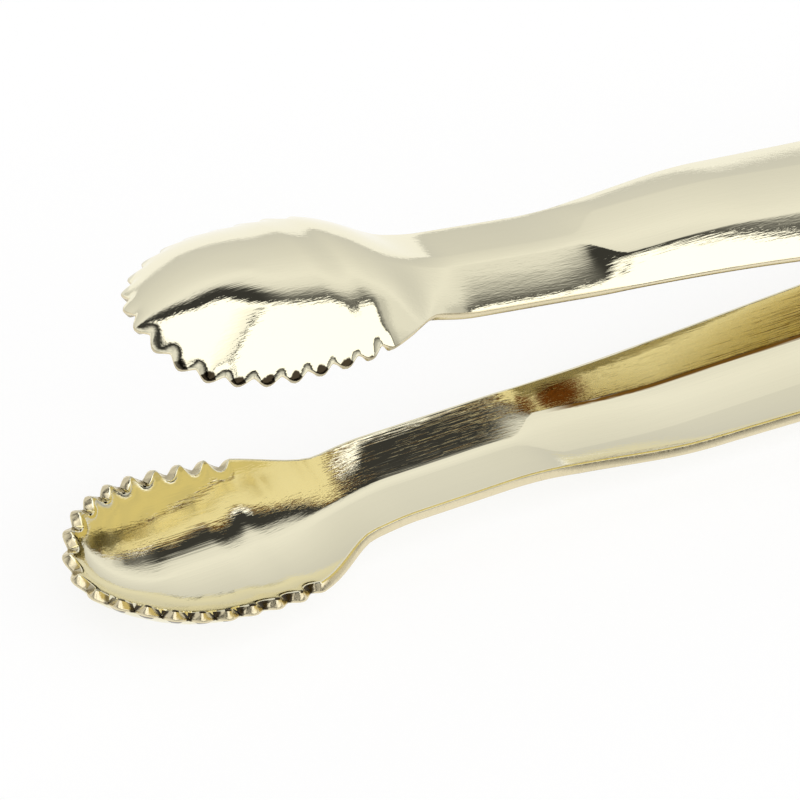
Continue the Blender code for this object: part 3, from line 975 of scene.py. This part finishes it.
def shade_share(nodes, x, angle, rise, past, inside):
    """Share that the dark gap and the grey strip take off the tent's light."""
    past_gap = nodes.math("SUBTRACT", past, nodes.math("MULTIPLY_ADD", rise, -GAP_NARROWING, GAP_WIDTH))
    fade = nodes.math("MULTIPLY_ADD", rise, GAP_FADE_GAIN, GAP_FADE)
    gap = nodes.fall(nodes.math("DIVIDE", past_gap, fade), 0.0, 1.0)
    depth = nodes.math("MULTIPLY_ADD", rise, -GAP_DEPTH_LOSS, GAP_DEPTH)
    before_end = nodes.fall(x, BOX_END, BOX_END + GAP_END_SOFT)
    after_start = nodes.step(inside, *GAP_START)
    gap = nodes.product(gap, depth, before_end, after_start, nodes.step(angle, *GAP_BOTTOM))
    side = nodes.fall(x, SIDE_END - SIDE_END_SOFT, SIDE_END)
    under_top = nodes.fall(angle, SIDE_TOP - SIDE_TOP_SOFT, SIDE_TOP)
    side = nodes.product(side, nodes.rest(before_end), under_top)
    return nodes.math("MULTIPLY_ADD", side, SIDE_SHADE, gap)


def box_share(nodes, x, angle, past, inside):
    """1 in the soft box."""
    under_top = nodes.fall(past, *BOX_TOP_SOFT)
    before_end = nodes.fall(x, BOX_END - BOX_END_SOFT, BOX_END + BOX_END_SOFT)
    after_start = nodes.step(inside, -BOX_START_SOFT, 0.0)
    over_bottom = nodes.step(angle, BOX_BOTTOM - BOX_BOTTOM_SOFT, BOX_BOTTOM)
    return nodes.product(under_top, before_end, after_start, over_bottom)


def box_light(nodes, x, angle):
    """Level of the soft box, with its seam and panel."""
    seam_line = nodes.math("MULTIPLY_ADD", angle, SEAM_SLOPE, SEAM_X)
    along = nodes.math("SUBTRACT", seam_line, x)
    under_top = nodes.fall(angle, *SEAM_TOP)
    panel_start = nodes.step(along, 0.0, PANEL_START_SOFT)
    panel_end = nodes.fall(along, *PANEL_END)
    panel = nodes.product(panel_start, panel_end, under_top)
    seam = nodes.math("LESS_THAN", nodes.math("ABSOLUTE", along), SEAM_WIDTH / 2)
    seam = nodes.product(seam, under_top)
    unlit = nodes.math("MULTIPLY_ADD", seam, -GAP_DEPTH, 1.0)
    return nodes.product(nodes.blend(panel, BOX_LEVEL, PANEL_LEVEL), unlit)


def light_world():
    """Soft studio light as a function of direction; the camera sees plain white behind the tongs."""
    world = bpy.data.worlds.new("studio")
    bpy.context.scene.world = world
    world.use_nodes = True
    nodes = Nodes(world.node_tree)
    shader = nodes.tree.nodes["Background"]
    direction = nodes.parts(nodes.add("ShaderNodeTexCoord").outputs["Generated"])
    x = direction["X"]
    angle = nodes.math("DEGREES", nodes.math("ARCTAN2", direction["Y"], direction["Z"]))
    rise = nodes.step(x, *BOX_RISE_X)
    past = past_box_top(nodes, x, angle, rise)
    inside = past_box_start(nodes, x, angle)
    shade = shade_share(nodes, x, angle, rise, past, inside)
    level = nodes.product(tent_level(nodes, angle), nodes.rest(shade))
    lit = nodes.blend(box_share(nodes, x, angle, past, inside), level, box_light(nodes, x, angle))
    seen = nodes.add("ShaderNodeLightPath").outputs["Is Camera Ray"]
    nodes.feed(shader.inputs["Color"], nodes.tone(seen, lit, (1.0, 1.0, 1.0)))
    shader.inputs["Strength"].default_value = 1.0


def background_ray(nodes):
    """1 for rays that show the background: camera, mirror and clear ones."""
    path = nodes.add("ShaderNodeLightPath").outputs
    seen = nodes.math("MAXIMUM", path["Is Camera Ray"], path["Is Glossy Ray"])
    return nodes.math("MAXIMUM", seen, path["Is Transmission Ray"])


def make_floor():
    """Plain white floor that keeps a soft shadow of the tongs."""
    mesh = bpy.data.meshes.new("floor")
    plane = bmesh.new()
    bmesh.ops.create_grid(plane, x_segments=2, y_segments=2, size=FLOOR_SIZE / 2)
    plane.to_mesh(mesh)
    plane.free()
    floor = new_object("floor", mesh)
    material, nodes = new_material("white_floor")
    lit = nodes.add("ShaderNodeBsdfDiffuse", Color=(FLOOR_TONE, FLOOR_TONE, FLOOR_TONE, 1.0))
    white = nodes.add("ShaderNodeEmission", Color=(1.0, 1.0, 1.0, 1.0), Strength=FLOOR_WHITE)
    nodes.show(nodes.product(background_ray(nodes), FLOOR_WHITE_SHARE), lit, white)
    floor.data.materials.append(material)


def make_reflector(matrix):
    """Gold card beside the upper neck, which only mirrors see: it fills the lower bowl's far wall."""
    square = ((0, 0), (1, 0), (1, 1), (0, 1))
    corners = [matrix @ Vector((CARD_X[u], CARD_Y[v], CARD_Z)) for u, v in square]
    mesh = bpy.data.meshes.new("gold_reflector")
    mesh.from_pydata(corners, [], [(0, 1, 2, 3)])
    for loop, uv in zip(mesh.uv_layers.new(name="UVMap").data, square):
        loop.uv = uv
    card = new_object("gold_reflector", mesh)
    for ray in ("camera", "diffuse", "transmission", "volume_scatter", "shadow"):
        setattr(card, "visible_" + ray, False)
    material, nodes = new_material("gold_card")
    share = nodes.remap(nodes.noise(nodes.place(), *CARD_CLOUDS), *CLOUD_SPAN)
    glow = nodes.add("ShaderNodeEmission", Color=nodes.tone(share, *CARD_GOLD), Strength=1.0)
    across = nodes.parts(nodes.add("ShaderNodeUVMap").outputs["UV"])
    fade_x = nodes.fall(across["X"], CARD_FADE_X, 1.0)
    fade_y = nodes.fall(across["Y"], CARD_FADE_Y, 1.0)
    back = nodes.add("ShaderNodeNewGeometry").outputs["Backfacing"]
    cover = nodes.product(fade_x, fade_y, nodes.rest(back))
    nodes.show(cover, nodes.add("ShaderNodeBsdfTransparent"), glow)
    mesh.materials.append(material)


def make_camera():
    az, el, roll = CAMERA_AZIMUTH, CAMERA_ELEVATION, CAMERA_ROLL
    back = Vector((math.sin(az) * math.cos(el), -math.cos(az) * math.cos(el), math.sin(el)))
    right = Vector((math.cos(az), math.sin(az), 0.0))
    upward = back.cross(right)
    side = right * math.cos(roll) + upward * math.sin(roll)
    top = upward * math.cos(roll) - right * math.sin(roll)
    turn = Matrix((side, top, back)).transposed().to_4x4()
    data = bpy.data.cameras.new("camera")
    data.lens = CAMERA_LENS
    data.sensor_width = CAMERA_SENSOR
    camera = new_object("camera", data)
    camera.matrix_world = Matrix.Translation(CAMERA_TARGET + back * CAMERA_DISTANCE) @ turn
    bpy.context.scene.camera = camera


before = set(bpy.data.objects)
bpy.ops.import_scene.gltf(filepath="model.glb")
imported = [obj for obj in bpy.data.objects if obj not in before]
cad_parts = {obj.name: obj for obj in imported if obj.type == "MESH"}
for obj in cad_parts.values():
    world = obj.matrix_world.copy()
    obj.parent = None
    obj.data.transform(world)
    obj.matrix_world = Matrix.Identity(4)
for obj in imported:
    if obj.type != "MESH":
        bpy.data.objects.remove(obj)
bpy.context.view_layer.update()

bpy.context.scene.view_settings.view_transform = "Standard"
make_camera()
light_world()
make_floor()

lower_place = Matrix.Translation(Vector((-REST_X, 0.0, 0.0)))
opening = Matrix.Rotation(UPPER_TILT, 4, "Y") @ Matrix.Rotation(math.pi, 4, "X")
to_pivot = Matrix.Translation(Vector((-PIVOT_X, 0.0, -PIVOT_Z)))
upper_place = Matrix.Translation(PIVOT) @ opening @ to_pivot
make_reflector(upper_place)

edge = cut_edge("cut_edge", 1.0, 1.0)
upper_edge = cut_edge("upper_cut_edge", -1.0, UPPER_EDGE_AMOUNT)
lower_gold = gold_plate("lower_arm_gold", 0.0, ARM_ROUGHNESS, ARM_LINE_HEIGHT)
upper_gold = gold_plate("upper_arm_gold", UPPER_TILT, ARM_ROUGHNESS, ARM_LINE_HEIGHT)
hollow = satin_gold("upper_arm_hollow", DEEP_GOLD)
# The upper arm's inner corner rows take a dark brown tone: painted shade along the inner rim
shaded_corner = satin_gold("upper_arm_corner_shade", CORNER_SHADE)
creased_gold = gold_plate("lower_arm_hollow", 0.0, ARM_ROUGHNESS, ARM_LINE_HEIGHT, creased=True)
lower_coats = (lower_gold, edge, creased_gold, creased_gold)
upper_coats = (upper_gold, upper_edge, shaded_corner, hollow)
lower = (EAR_HALF_WIDTH, lower_place, LOWER_ROLL_START)
upper = (INNER_EAR_HALF_WIDTH, upper_place, UPPER_ROLL_START)
make_arm("lower_arm_shell", *lower, "lower", "lower_arm", lower_coats)
make_arm("upper_arm_shell", *upper, "upper", "upper_arm", upper_coats)
make_rivet(gold_plate("rivet_gold", 0.0, RIVET_ROUGHNESS, RIVET_LINE_HEIGHT))
make_spring(spring_steel("spring_steel"))
